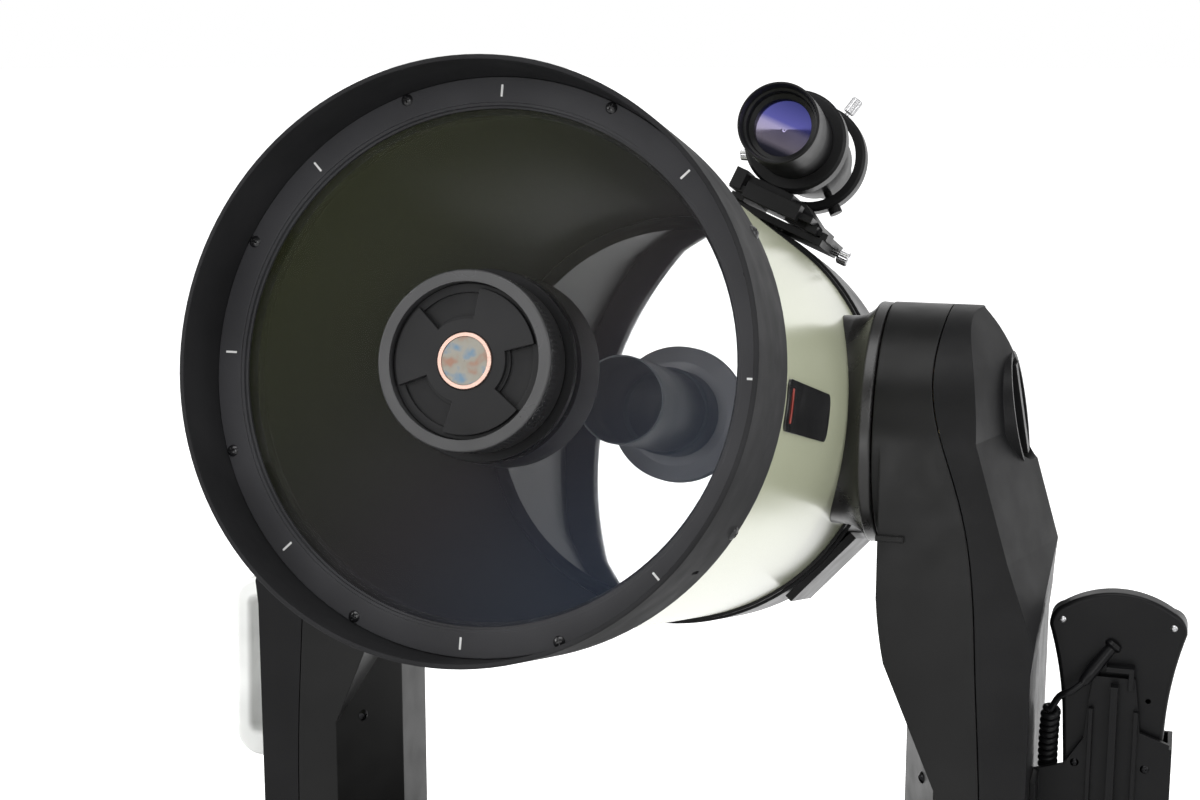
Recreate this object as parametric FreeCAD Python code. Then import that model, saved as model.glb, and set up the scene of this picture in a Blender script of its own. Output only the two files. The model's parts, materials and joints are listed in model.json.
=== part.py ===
import FreeCAD, Part
import math
import os

from FreeCAD import Rotation, Vector

# A 279 mm Schmidt-Cassegrain telescope on a computerised two-arm fork mount, in millimetres.
# The origin is on the azimuth axis, at the underside of the feet. +Z is up, and the telescope
# points to -Y. The optics are drawn in a tube frame: s runs along the optical axis from the
# front lip towards the rear, x is to the right and z is up. on_tube() puts them on the fork.

# ---- driving dimensions: the fork and base
AXIS_Z = 500.0  # height of the altitude axis
REST_ALTITUDE = 14.1  # degrees above the horizon at rest
DRUM_R = 85.0  # round head of each arm
ARM_HALF_DEPTH = 85.0
ARM_INNER_X = 173.7
COLUMN_INNER_X = 179.0
ARM_WALL = 3.5
ARM_FOOT_Z = 62.0
ARM_OUTER_X = 283.0
SEAM_GAP = 0.8
TURNTABLE_R = 178.0
TURNTABLE_TOP_Z = 112.0
TURNTABLE_BOTTOM_Z = 46.0
LOWER_BASE_R = 150.0
LOWER_BASE_TOP_Z = 43.0
FOOT_HEIGHT = 12.0
FOOT_PCD_R = 128.0
TRIPOD_BOLT_R = 5.2
TRIPOD_BOLT_PCD_R = 89.0
PIVOT_BORE_R = 9.6
PIVOT_BORE_DEPTH = 40.0
PIVOT_BOSS_R = 24.0
BOLT_CIRCLE_FIRST = 30.0
PLUG_Z = 140.0
PORTS = [(-40, 5.2), (-22, 5.2), (-4, 6.2), (14, 6.2)]  # x and radius of each socket
SWITCH_X = (34.0, 46.0)
CLUTCH_XY = (-96.0, -112.0)
WHEEL_R = 60.0
AZ_WHEEL_R = 70.0
WHEEL_TEETH = 90
WORM_R = 6.0
WORM_GAP = 0.4
FRAME_HALF_WIDTH = 28.0
DISH_CENTRE = Vector(263, 0, AXIS_Z + 15)  # in the plane of the dish's rim
DISH_NORMAL = Vector(0.985, 0, 0.17)
DISH_R = 40.0
DISH_DEPTH = 11.0

# ---- driving dimensions: the optical tube
AXIS_S = 405.0  # altitude axis behind the front lip
CELL_R = 163.5
CELL_LENGTH = 75.8
LIP_BORE_R = 160.6
TUBE_R = 155.4
TUBE_WALL = 2.8
LABEL_S = 39.5
LABEL_INNER_R = 144.6
LABEL_BACK_S = 44.9
CORRECTOR_R = 149.3
CORRECTOR_S = 45.0
CORRECTOR_THICK = 6.0
REAR_CELL_S = 454.0
REAR_CELL_R = 159.6
BACK_PLATE_S = 550.0
BACK_FACE_S = 557.0
MIRROR_R = 142.0
MIRROR_CURVE_R = 1120.0
MIRROR_VERTEX_S = 479.0
BAFFLE_R = 31.0
SLEEVE_R = 33.05
SECONDARY_S = 11.0  # front face of the knurled ring
SECONDARY_R = 49.3
NOTCH_ANGLES = (-109, 11, 131)  # the finger notches in the secondary's cover
NOTCH_SPAN = 54.0
NOTCH_HUB_R = 23.0
NOSE_R = 25.3  # two-inch visual back
EYEPIECE_R = 25.3
DIAGONAL_S = 636.0
FOCUS_X, FOCUS_Z = 56.0, -44.0
FOCUS_SCREW_R = 4.0
LOCK_X = 108.0
LOCK_SHAFT_R = 2.5
SCREW_TIP_S = 509.5
VENT_X, VENT_Z = 62.0, 88.0
VENT_HOLE_R = 2.2
VENT_PITCH = 7.0
FINDER_RADIAL = 221.6
FINDER_TILT = 23.0  # degrees from the top of the tube towards +X
FINDER_S = 364.0
FINDER_R = 29.5
LENS_R = 22.4
SHOE_END_S = 506.0
SHOE_KNOB_S = 498.0
FINDER_SCREW_ANGLES = (12.0, 250.0)
FINDER_PLUNGER_ANGLE = 130.0

# ---- driving dimensions: the hand control and its cord
HAND_X = 335.5
HAND_BACK_Y = -14.0
HAND_FRONT_Y = 14.0
HAND_BACK_TOP_Z = 392.0
HAND_FRONT_TOP_Z = 388.5
HAND_BOTTOM_Z = 198.0
KEYS = [(HAND_X, 332, "up"), (HAND_X, 306, "down"), (HAND_X - 15, 319, "left")]
KEYS += [(HAND_X + 15, 319, "right")]
CORD_R = 2.4
COIL_R = 7.0
RELIEF_START = (334, -14, 356)
UPPER_LEAD = [(314, -27, 330), (307, -31, 324), (299.5, -28, 321), (294, -20, 313)]
COIL_ROUTE = [(294, -20, 313), (292, -11.5, 284), (292.2, -4.5, 252), (291.9, -1.5, 222)]
COIL_ROUTE += [(292.5, -2, 196)]
LOWER_LEAD = [(292.5, -2, 196), (297, -1.5, 181), (307, -0.6, 170), (315, 0, 156)]
LOWER_LEAD += [(313.5, 0.2, 143.5), (304, 0, PLUG_Z)]

X_AXIS = Vector(1, 0, 0)
Y_AXIS = Vector(0, 1, 0)
Z_AXIS = Vector(0, 0, 1)
NODES = []


# ---- drawing helpers
def save(name, shape):
    """Keep a finished node for export."""
    NODES.append((name, shape))
    return shape


def block(x, y, z):
    """A box from three (low, high) pairs."""
    size = [pair[1] - pair[0] for pair in (x, y, z)]
    return Part.makeBox(*size, Vector(x[0], y[0], z[0]))


def rod(start, axis, radius, length):
    return Part.makeCylinder(radius, length, Vector(*start), Vector(*axis))


def pipe(start, axis, outer, inner, length):
    return rod(start, axis, outer, length).cut(rod(start, axis, inner, length))


def cone(start, axis, r_start, r_end, length):
    return Part.makeCone(r_start, r_end, length, Vector(*start), Vector(*axis))


def fuse(shapes):
    """One clean solid, or a group where the pieces stay apart."""
    return shapes[0].multiFuse(shapes[1:]).removeSplitter()


def group(shapes):
    return Part.makeCompound(shapes)


def turned(profile, start=(0, 0, 0), axis="y"):
    """A solid of revolution from (along, radius) corners, about a line through start."""
    if axis == "y":
        corners = [Vector(r, a, 0) for a, r in profile]
        direction = Y_AXIS
    elif axis == "x":
        corners = [Vector(a, r, 0) for a, r in profile]
        direction = X_AXIS
    else:
        corners = [Vector(r, 0, a) for a, r in profile]
        direction = Z_AXIS
    face = Part.Face(Part.makePolygon(corners + corners[:1]))
    solid = face.revolve(Vector(0, 0, 0), direction, 360)
    solid.translate(Vector(*start))
    return solid


def outline(steps):
    """A closed face in the XZ plane. A step is (x, z), or (x, z, via_x, via_z) for an arc to it."""
    edges = []
    here = Vector(steps[0][0], 0, steps[0][1])
    for step in steps[1:] + steps[:1]:
        there = Vector(step[0], 0, step[1])
        if len(step) == 4:
            edges.append(Part.Arc(here, Vector(step[2], 0, step[3]), there).toShape())
        elif (there - here).Length > 1e-6:
            edges.append(Part.LineSegment(here, there).toShape())
        here = there
    return Part.Face(Part.Wire(edges))


def prism(steps, y_low, y_high):
    """An XZ outline run along Y."""
    face = outline(steps)
    face.translate(Vector(0, y_low, 0))
    return face.extrude(Vector(0, y_high - y_low, 0))


def ring_of(shape, count, first, centre=(0, 0, 0), axis=Y_AXIS):
    """Copies of a shape turned about an axis, the first by that angle."""
    made = []
    for i in range(count):
        copy = shape.copy()
        copy.rotate(Vector(*centre), axis, first + 360.0 * i / count)
        made.append(copy)
    return made


def mirrored(shape):
    """The same shape on the other side of the fork."""
    return shape.mirror(Vector(0, 0, 0), X_AXIS)


def on_tube(shape):
    """From the tube frame to its place on the fork, at the rest altitude."""
    placed = shape.copy()
    placed.translate(Vector(0, -AXIS_S, 0))
    placed.rotate(Vector(0, 0, 0), X_AXIS, -REST_ALTITUDE)
    placed.translate(Vector(0, 0, AXIS_Z))
    return placed


def on_finder(shape):
    """From the finder's frame, upright above the tube, to its place on the telescope."""
    placed = shape.copy()
    placed.rotate(Vector(0, 0, 0), Y_AXIS, FINDER_TILT)
    return on_tube(placed)


def pan_screw(start, axis, head_r, shank_r, shank):
    """A dome-headed screw with a cross recess, its head standing on start along axis."""
    head_h = 0.55 * head_r
    head = rod((0, 0, 0), (0, 0, 1), head_r, head_h)
    dome_r = (head_r**2 + head_h**2) / (2 * head_h)
    dome = Part.makeSphere(dome_r, Vector(0, 0, head_h - dome_r))
    head = head.common(dome)
    arm = 0.55 * head_r
    slot = 0.14 * head_r
    for x, y in ((arm, slot), (slot, arm)):
        head = head.cut(block((-x, x), (-y, y), (0.4 * head_h, 2 * head_h)))
    screw = head.fuse(rod((0, 0, -shank), (0, 0, 1), shank_r, shank))
    screw.Placement = FreeCAD.Placement(Vector(*start), Rotation(Z_AXIS, Vector(*axis)))
    return screw


def knurled(start, axis, radius, length, teeth, depth):
    """A grip cylinder with straight ridges."""
    points = []
    for i in range(2 * teeth):
        r = radius if i % 2 == 0 else radius - depth
        a = math.pi * i / teeth
        points.append(Vector(r * math.cos(a), r * math.sin(a), 0))
    grip = Part.Face(Part.makePolygon(points + points[:1])).extrude(Vector(0, 0, length))
    bevel = 2 * depth
    shell = [(0, 0), (0, radius - bevel), (bevel, radius), (length - bevel, radius)]
    shell += [(length, radius - bevel), (length, 0)]
    grip = grip.common(turned(shell, axis="z"))
    grip.Placement = FreeCAD.Placement(Vector(*start), Rotation(Z_AXIS, Vector(*axis)))
    return grip


# ---- the front of the tube
def front_cell():
    """The front casting: a deep lip, the seat for the corrector, and a socket for the tube."""
    seat_s = CORRECTOR_S + CORRECTOR_THICK
    pocket_r = CORRECTOR_R + 0.3
    profile = [(0, LIP_BORE_R + 0.2), (0, CELL_R - 0.6), (0.6, CELL_R)]
    profile += [(CELL_LENGTH - 0.6, CELL_R), (CELL_LENGTH, CELL_R - 0.6)]
    profile += [(CELL_LENGTH, TUBE_R), (60, TUBE_R), (60, 141), (seat_s, 141)]
    profile += [(seat_s, pocket_r), (LABEL_BACK_S, pocket_r), (LABEL_BACK_S, LIP_BORE_R)]
    cell = turned(profile)
    slots = [block((-1.2, 1.2), (44, 56), (CELL_R - 1.2, CELL_R + 1))]
    for slot in ring_of(slots[0], 3, 129.5):
        cell = cell.cut(slot)
    save("front_cell", on_tube(cell))


def label_ring():
    """The flat ring that clamps the corrector, with stepped inner edges and screw holes."""
    profile = [(LABEL_S, LIP_BORE_R - 0.4), (LABEL_S, LABEL_INNER_R + 1.6)]
    profile += [(LABEL_S + 1.1, LABEL_INNER_R + 1.6), (LABEL_S + 1.1, LABEL_INNER_R)]
    profile += [(43.2, LABEL_INNER_R), (43.2, 143.4), (LABEL_BACK_S, 143.4)]
    profile += [(LABEL_BACK_S, LIP_BORE_R - 0.4)]
    ring = turned(profile)
    for hole in ring_of(rod((157, 30, 0), (0, 1, 0), 1.6, 20), 8, -21):
        ring = ring.cut(hole)
    save("label_ring", on_tube(ring))


def front_screws():
    """Eight small screws in the clamping ring and six larger ones round the cell."""
    small = pan_screw((157, LABEL_S, 0), (0, -1, 0), 3.4, 1.5, 6.0)
    large = pan_screw((CELL_R, 66, 0), (1, 0, 0), 4.2, 2.0, 6.0)
    save("front_cell_screws", on_tube(group(ring_of(small, 8, -21) + ring_of(large, 6, -30))))


def corrector():
    """The thin glass plate that closes the tube, with a hole for the secondary housing."""
    back = CORRECTOR_S + CORRECTOR_THICK
    profile = [(CORRECTOR_S, 46.2), (CORRECTOR_S, CORRECTOR_R), (back, CORRECTOR_R), (back, 46.2)]
    save("corrector_plate", on_tube(turned(profile)))


# ---- the secondary mirror and its removable cell
def secondary():
    """The housing through the corrector, its knurled ring, the cover and the mirror."""
    front = CORRECTOR_S
    back = front + CORRECTOR_THICK
    housing = [(24, 40), (24, 47.4), (41, 47.4), (41, 53.4), (front, 53.4), (front, 46)]
    housing += [(back, 46), (back, 54), (82, 55), (82, 51), (back + 4, 50), (back + 4, 40)]
    save("secondary_housing", on_tube(turned(housing)))

    ring_back = 38.5
    ring = [(SECONDARY_S, 42.7), (SECONDARY_S, SECONDARY_R - 0.7), (SECONDARY_S + 0.7, SECONDARY_R)]
    ring += [(15, SECONDARY_R), (15, 48.6), (ring_back, 48.6), (ring_back, 47.45)]
    ring += [(23.5, 47.45), (23.5, 42.7)]
    grip = knurled((0, 15.6, 0), (0, 1, 0), SECONDARY_R, 12.0, 110, 0.6)
    grip = grip.cut(rod((0, 10, 0), (0, 1, 0), 47.9, 30))
    save("secondary_knurled_ring", on_tube(turned(ring).fuse(grip)))

    plate = rod((0, 17, 0), (0, 1, 0), 42.3, 7)
    raised = rod((0, 13.6, 0), (0, 1, 0), 40.0, 3.4)
    for angle in NOTCH_ANGLES:
        for solid_r, depth in ((NOTCH_HUB_R, (10, 17)), (NOTCH_HUB_R + 2, (16, 19.2))):
            reach = 60 if depth[0] == 10 else 37.5
            sector = Part.makeCylinder(reach, depth[1] - depth[0], Vector(0, 0, 0), Z_AXIS, NOTCH_SPAN)
            sector.rotate(Vector(0, 0, 0), Z_AXIS, -NOTCH_SPAN / 2)
            sector.rotate(Vector(0, 0, 0), X_AXIS, -90)
            sector.translate(Vector(0, depth[0], 0))
            sector = sector.cut(rod((0, 0, 0), (0, 1, 0), solid_r, 30))
            sector.rotate(Vector(0, 0, 0), Y_AXIS, angle)
            raised = raised.cut(sector)
            plate = plate.cut(sector)
    cover = fuse([plate, raised]).cut(rod((0, 13, 0), (0, 1, 0), 15.9, 1.2))
    save("secondary_cover", on_tube(cover))

    save("secondary_mirror", on_tube(pipe((0, 27, 0), (0, 1, 0), 39.8, 3, 24)))


# ---- the tube and the rear casting
def optical_tube():
    inner = TUBE_R - TUBE_WALL
    save("optical_tube", on_tube(pipe((0, 60.3, 0), (0, 1, 0), TUBE_R, inner, 409.7)))


def rear_cell():
    """The rear casting: a stepped band over the tube and a thick back plate with its openings."""
    profile = [(REAR_CELL_S, TUBE_R), (REAR_CELL_S, TUBE_R + 2.2), (461, TUBE_R + 2.2)]
    profile += [(461, TUBE_R + 1.0), (464, TUBE_R + 1.0), (464, REAR_CELL_R)]
    profile += [(551, REAR_CELL_R), (BACK_FACE_S, 154), (BACK_FACE_S, 30), (BACK_PLATE_S, 30)]
    profile += [(BACK_PLATE_S, 152), (470.2, 152), (470.2, TUBE_R)]
    cell = turned(profile)
    holes = [rod((FOCUS_X, 540, FOCUS_Z), (0, 1, 0), 6.05, 30)]
    holes += [rod((x, 540, 0), (0, 1, 0), 3.05, 30) for x in (LOCK_X, -LOCK_X)]
    for x in (VENT_X, -VENT_X):
        for dx, dz in vent_grid():
            holes.append(rod((x + dx, 540, VENT_Z + dz), (0, 1, 0), VENT_HOLE_R, 30))
    cell = cell.cut(Part.makeCompound(holes))
    for angle in (-48, 48):
        bar = block((-34, 34), (466, 548), (REAR_CELL_R - 1.5, REAR_CELL_R + 4.5))
        bar.rotate(Vector(0, 0, 0), Y_AXIS, 180 + angle)
        cell = cell.fuse(bar)
    save("rear_cell", on_tube(cell.removeSplitter()))


def vent_grid():
    """The hole centres of one round vent, relative to its own centre."""
    spots = []
    for row in range(-2, 3):
        for column in range(-2, 3):
            if math.hypot(row, column) < 2.7:
                spots.append((VENT_PITCH * column, VENT_PITCH * row))
    return spots


def primary():
    """The concave mirror, the carriage it rides on and the baffle tube."""
    vertex = MIRROR_VERTEX_S
    curve_r = MIRROR_CURVE_R

    def surface(r):
        return vertex - curve_r + math.sqrt(curve_r**2 - r**2)

    inner, outer = 45.2, MIRROR_R
    front = [Vector(inner, surface(inner), 0), Vector(outer, surface(outer), 0)]
    middle = Vector(0.5 * (inner + outer), surface(0.5 * (inner + outer)), 0)
    corners = [front[1], Vector(outer, 492, 0), Vector(90, 503, 0), Vector(inner, 503, 0), front[0]]
    edges = [Part.Arc(front[0], middle, front[1]).toShape()]
    for a, b in zip(corners, corners[1:]):
        edges.append(Part.LineSegment(a, b).toShape())
    mirror = Part.Face(Part.Wire(edges)).revolve(Vector(0, 0, 0), Y_AXIS, 360)
    save("primary_mirror", on_tube(mirror))

    bore = SLEEVE_R + 0.06
    sleeve = [(470, bore), (470, 40), (472, 52), (477.4, 52), (477.4, 45), (503.2, 45)]
    sleeve += [(503.2, 84), (510, 84), (510, 45), (524, 45), (524, bore)]
    carriage = turned(sleeve).fuse(rod((FOCUS_X, 506, FOCUS_Z), (0, 1, 0), 10, 18))
    carriage = carriage.cut(rod((FOCUS_X, 495, FOCUS_Z), (0, 1, 0), FOCUS_SCREW_R + 0.05, 40))
    for x in (LOCK_X, -LOCK_X):
        ear = block((min(x, 0.7 * x) - 6, max(x, 0.7 * x) + 6), (503.2, 518), (-9, 9))
        carriage = carriage.fuse(ear).cut(rod((x, 495, 0), (0, 1, 0), LOCK_SHAFT_R + 0.1, 30))
    save("mirror_carriage", on_tube(carriage.removeSplitter()))

    baffle = [(315, BAFFLE_R - 1.2), (315, BAFFLE_R), (434, BAFFLE_R), (436, SLEEVE_R)]
    baffle += [(BACK_PLATE_S - 3, SLEEVE_R), (BACK_PLATE_S - 3, 43), (BACK_PLATE_S, 43)]
    baffle += [(BACK_PLATE_S, 29.8), (BACK_FACE_S, 29.8), (BACK_FACE_S, 27)]
    baffle += [(430, 27), (425, BAFFLE_R - 1.6)]
    save("primary_baffle_tube", on_tube(turned(baffle)))


def rear_controls():
    """The focus knob on its screw, and the two mirror locks."""
    screw = rod((FOCUS_X, SCREW_TIP_S, FOCUS_Z), (0, 1, 0), FOCUS_SCREW_R, 541 - SCREW_TIP_S)
    collar = rod((FOCUS_X, 540, FOCUS_Z), (0, 1, 0), 6.0, 20)
    knob = knurled((FOCUS_X, 559, FOCUS_Z), (0, 1, 0), 15.5, 26, 36, 0.9)
    save("focus_knob", on_tube(fuse([screw, collar, knob])))
    for name, x in (("mirror_lock_right", LOCK_X), ("mirror_lock_left", -LOCK_X)):
        shaft = rod((x, SCREW_TIP_S - 2, 0), (0, 1, 0), LOCK_SHAFT_R, 539 - SCREW_TIP_S + 2)
        neck = rod((x, 538, 0), (0, 1, 0), 3.0, 22)
        grip = knurled((x, 559, 0), (0, 1, 0), 10.5, 14, 24, 0.8)
        save(name, on_tube(fuse([shaft, neck, grip])))


def viewing_end():
    """The visual back, the star diagonal and the eyepiece."""
    back = [(BACK_FACE_S, 27), (BACK_FACE_S, 45), (563, 45), (565, 34), (600, 34)]
    back += [(600, NOSE_R + 0.05), (564, NOSE_R + 0.05), (564, 27)]
    save("visual_back", on_tube(turned(back)))

    nose = pipe((0, 567, 0), (0, 1, 0), NOSE_R, 22.5, 40)
    s = DIAGONAL_S
    body = block((-31, 31), (s - 32, s + 32), (-31, 33))
    slope = [(s - 14, -32), (s + 34, -32), (s + 34, 16), (s - 14, -32)]
    wedge = Part.Face(Part.makePolygon([Vector(-40, *corner) for corner in slope]))
    body = body.cut(wedge.extrude(Vector(80, 0, 0)))
    body = body.cut(rod((0, 600, 0), (0, 1, 0), 22.5, s - 600))
    body = body.cut(rod((0, s, -1), (0, 0, 1), 22.5, 60))
    holder = pipe((0, s, 33), (0, 0, 1), 30.0, EYEPIECE_R + 0.06, 34)
    body = body.cut(rod((0, s, 28), (0, 0, 1), EYEPIECE_R + 0.06, 30))
    save("star_diagonal", on_tube(fuse([nose, body, holder])))

    barrel = [(34, 22), (34, EYEPIECE_R), (67.5, EYEPIECE_R), (67.5, 30), (70, 31), (88, 31)]
    barrel += [(96, 27), (112, 25), (116, 22), (116, 15), (110, 13), (104, 13), (104, 0)]
    barrel += [(68, 0), (60, 13), (60, 22)]
    save("eyepiece", on_tube(turned(barrel, (0, DIAGONAL_S, 0), "z")))


# ---- the finder telescope
def finder():
    """A small refractor on two rings, with its dovetail shoe on the rear of the tube."""
    h = FINDER_RADIAL
    s = FINDER_S
    front = [(s, FINDER_R - 1.6), (s, FINDER_R - 0.5), (s + 1, FINDER_R), (s + 30, FINDER_R)]
    front += [(s + 32, 28.4), (s + 150, 28.4), (s + 165, 20.5), (s + 196, 20.5)]
    front += [(s + 198, 17), (s + 216, 17), (s + 218, 15.5), (s + 218, 9), (s + 200, 9)]
    front += [(s + 184, 12), (s + 178, 18.2), (s + 158, 18.2), (s + 145, 22), (s + 31, 22)]
    front += [(s + 31, LENS_R + 0.05), (s + 22, LENS_R + 0.05), (s + 22, LENS_R - 1.6)]
    front += [(s + 17, LENS_R - 1.6), (s + 15, 24.2), (s + 9, 24.8), (s + 8, 26.6)]
    save("finder_tube", on_finder(turned(front, (0, 0, h))))
    lens = [(s + 24, 0), (s + 23, 10), (s + 22.2, LENS_R), (s + 30.9, LENS_R), (s + 30.9, 0)]
    lens = turned(lens, (0, 0, h))
    eye = rod((0, s + 168, h), (0, 1, 0), 18.1, 6)
    save("finder_lenses", on_finder(group([lens, eye])))
    ring_front = turned([(426, 28.45), (426, 36), (428, 38), (440, 38), (442, 36), (442, 28.45)])
    ring_rear = turned([(492, 34.5), (492, 40), (494, 42), (506, 42), (508, 40), (508, 34.5)])
    rings = []
    for ring in (ring_front, ring_rear):
        ring.translate(Vector(0, 0, h))
        rings.append(ring)
    beam = block((-18, 18), (426, 508), (h - 48, h - 36.5))
    plate = block((-28, 40), (420, 512), (h - 51, h - 46))
    feet = [block((x - 4, x + 4), (430, 506), (h - 56, h - 50)) for x in (-20, 40)]
    nose = block((-14, 30), (412, 424), (h - 54, h - 42))
    stop = block((-28, -19), (418, 442), (h - 50, h - 35))
    slope = [(16, h - 38), (26, h - 38), (46, h - 50), (46, h - 55), (16, h - 55)]
    gusset = prism(slope, 440, 474)
    bracket = fuse(rings + [beam, plate, nose, stop, gusset] + feet)
    for angle in FINDER_SCREW_ANGLES:
        bracket = bracket.cut(turn_about(rod((0, 500, h + 30), (0, 0, 1), 2.05, 20), angle))
    plunger = rod((0, 500, h + 28.6), (0, 0, 1), 3.0, 7)
    plunger = fuse([plunger, rod((0, 500, h + 33), (0, 0, 1), 5.0, 14)])
    bracket = bracket.fuse(turn_about(plunger, FINDER_PLUNGER_ANGLE))
    save("finder_bracket", on_finder(bracket))

    shoe = block((-27, 49), (440, SHOE_END_S), (160, h - 56.2))
    rails = [block((x - 2.6, x + 2.6), (440, SHOE_END_S), (h - 56.3, h - 51.3)) for x in (-27, 48.8)]
    pegs = [rod((x, s_peg, 150), (0, 0, 1), 3, 11) for x in (-12, 12) for s_peg in (452, 490)]
    shoe = fuse([shoe] + rails + pegs).cut(rod((0, 400, 0), (0, 1, 0), REAR_CELL_R + 0.05, 150))
    shoe = shoe.cut(rod((38, SHOE_KNOB_S, h - 58.6), (1, 0, 0), 1.6, 20))
    save("finder_shoe", on_finder(shoe))
    knob = knurled((52.4, SHOE_KNOB_S, h - 58.6), (1, 0, 0), 5.6, 9, 18, 0.6)
    knob = knob.fuse(rod((39, SHOE_KNOB_S, h - 58.6), (1, 0, 0), 1.55, 14))
    save("finder_shoe_screw", on_finder(knob))

    for i, angle in enumerate(FINDER_SCREW_ANGLES):
        screw = rod((0, 500, h + 28.7), (0, 0, 1), 2.0, 23)
        grip = knurled((0, 500, h + 44), (0, 0, 1), 4.6, 13, 20, 0.5)
        save(f"finder_screw_{i + 1}", on_finder(turn_about(screw.fuse(grip), angle)))


def turn_about(shape, angle):
    """Turned about the finder's own axis."""
    shape.rotate(Vector(0, 0, FINDER_RADIAL), Y_AXIS, angle)
    return shape


# ---- the altitude hubs and the right-hand drive
def hub_profile():
    """The flared collar between the tube and the arm: a rounded rim and a hollow flank."""
    steps = [(128, 0), (128, 73.5), (148, 74.2), (163.5, 83.2, 156.5, 77)]
    steps += [(166, 84.8, 164.4, 84.5), (171, 84.4), (172.4, 82.8, 172.0, 83.8), (172.4, 0)]
    return steps


def altitude_hubs():
    face = outline(hub_profile())
    flare = face.revolve(Vector(0, 0, 0), X_AXIS, 360)
    saddle = rod((0, -200, 0), (0, 1, 0), TUBE_R + 0.02, 400)
    band = rod((0, REAR_CELL_S - AXIS_S, 0), (0, 1, 0), REAR_CELL_R + 0.02, 200)
    for cutter in (saddle, band):
        cutter.rotate(Vector(0, 0, 0), X_AXIS, -REST_ALTITUDE)
        flare = flare.cut(cutter)
    flare.translate(Vector(0, 0, AXIS_Z))
    shaft = rod((172.4, 0, AXIS_Z), (1, 0, 0), 24.0, 46)
    shaft = shaft.fuse(rod((172.4, 0, AXIS_Z), (1, 0, 0), 33.0, 10))
    hub = flare.fuse(shaft).removeSplitter()
    save("altitude_hubs", group([hub, mirrored(hub)]))


def worm_wheel(radius, thick, bore):
    """A toothed wheel on the XY plane, its teeth 1.6 mm deep."""
    points = []
    for i in range(2 * WHEEL_TEETH):
        r = radius if i % 2 == 0 else radius - 1.6
        a = math.pi * i / WHEEL_TEETH
        points.append(Vector(r * math.cos(a), r * math.sin(a), 0))
    wheel = Part.Face(Part.makePolygon(points + points[:1])).extrude(Vector(0, 0, thick))
    return wheel.cut(rod((0, 0, -1), (0, 0, 1), bore, thick + 2))


def altitude_drive():
    """The worm wheel and worm in the right arm."""
    wheel = worm_wheel(WHEEL_R, 9.0, 24.0)
    wheel.Placement = FreeCAD.Placement(Vector(206.5, 0, AXIS_Z), Rotation(Z_AXIS, X_AXIS))
    save("altitude_worm_wheel", wheel)
    z = AXIS_Z - WHEEL_R - WORM_R - WORM_GAP
    save("altitude_worm", worm((211, -26, z), (0, 1, 0)))


def bearings():
    """The altitude bearings in both arms and the thrust ring under the turntable."""
    rings = [pipe((x, 0, AXIS_Z), (1, 0, 0), 37.9, 24.05, 16) for x in (186.5, -202.5)]
    rings.append(pipe((0, 0, LOWER_BASE_TOP_Z + 0.1), (0, 0, 1), 111.9, 104.1, 2.9))
    save("axis_bearings", group(rings))


def motors():
    """The two drive motors on their brackets, each in line with its worm."""
    z = AXIS_Z - WHEEL_R - WORM_R - WORM_GAP
    foot = block((203.2, 219), (28, 32), (z - 16, z + 9))
    altitude = fuse([rod((211, 27.2, z), (0, 1, 0), 7.4, 36), foot])
    y = AZ_WHEEL_R + WORM_R + WORM_GAP
    stand = block((28, 60), (y - 9, y + 9), (57.9, 78))
    azimuth = fuse([rod((27.2, y, 84), (1, 0, 0), 12.0, 36), stand])
    save("drive_motors", group([altitude, azimuth]))


def worm(start, axis):
    """A worm drawn as a row of round threads on a shaft, with a coupling disc at its end."""
    profile = [(0, 0), (0, 3), (10, 3)]
    for i in range(8):
        at = 10 + 4 * i
        profile += [(at, 4.2), (at + 1.4, WORM_R), (at + 2.6, WORM_R), (at + 4, 4.2)]
    profile += [(42, 3), (48, 3), (48, 7), (52, 7), (52, 0)]
    solid = turned(profile, axis="z")
    solid.Placement = FreeCAD.Placement(Vector(*start), Rotation(Z_AXIS, Vector(*axis)))
    return solid


# ---- the fork arms
def arm_outline():
    """Front view of the right arm's body, z from the altitude axis."""
    foot = ARM_FOOT_Z - AXIS_Z
    steps = [(COLUMN_INNER_X, DRUM_R), (236, DRUM_R), (268.5, 5, 258, 51), (292, -75)]
    steps += [(ARM_OUTER_X, -150, 287, -112), (ARM_OUTER_X, foot), (194.5, foot), (194.5, -185)]
    steps += [(COLUMN_INNER_X, -105, 184.5, -147)]
    return steps


def facet_outline(shift):
    """The region outside the arm's slanted outer facet, in front view."""
    steps = [(236 + shift, 96), (236 + shift, 84), (268.5 + shift, 5, 258 + shift, 51)]
    steps += [(292 + shift, -75), (320 + shift, -156), (420, -156), (420, 96)]
    return steps


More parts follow.
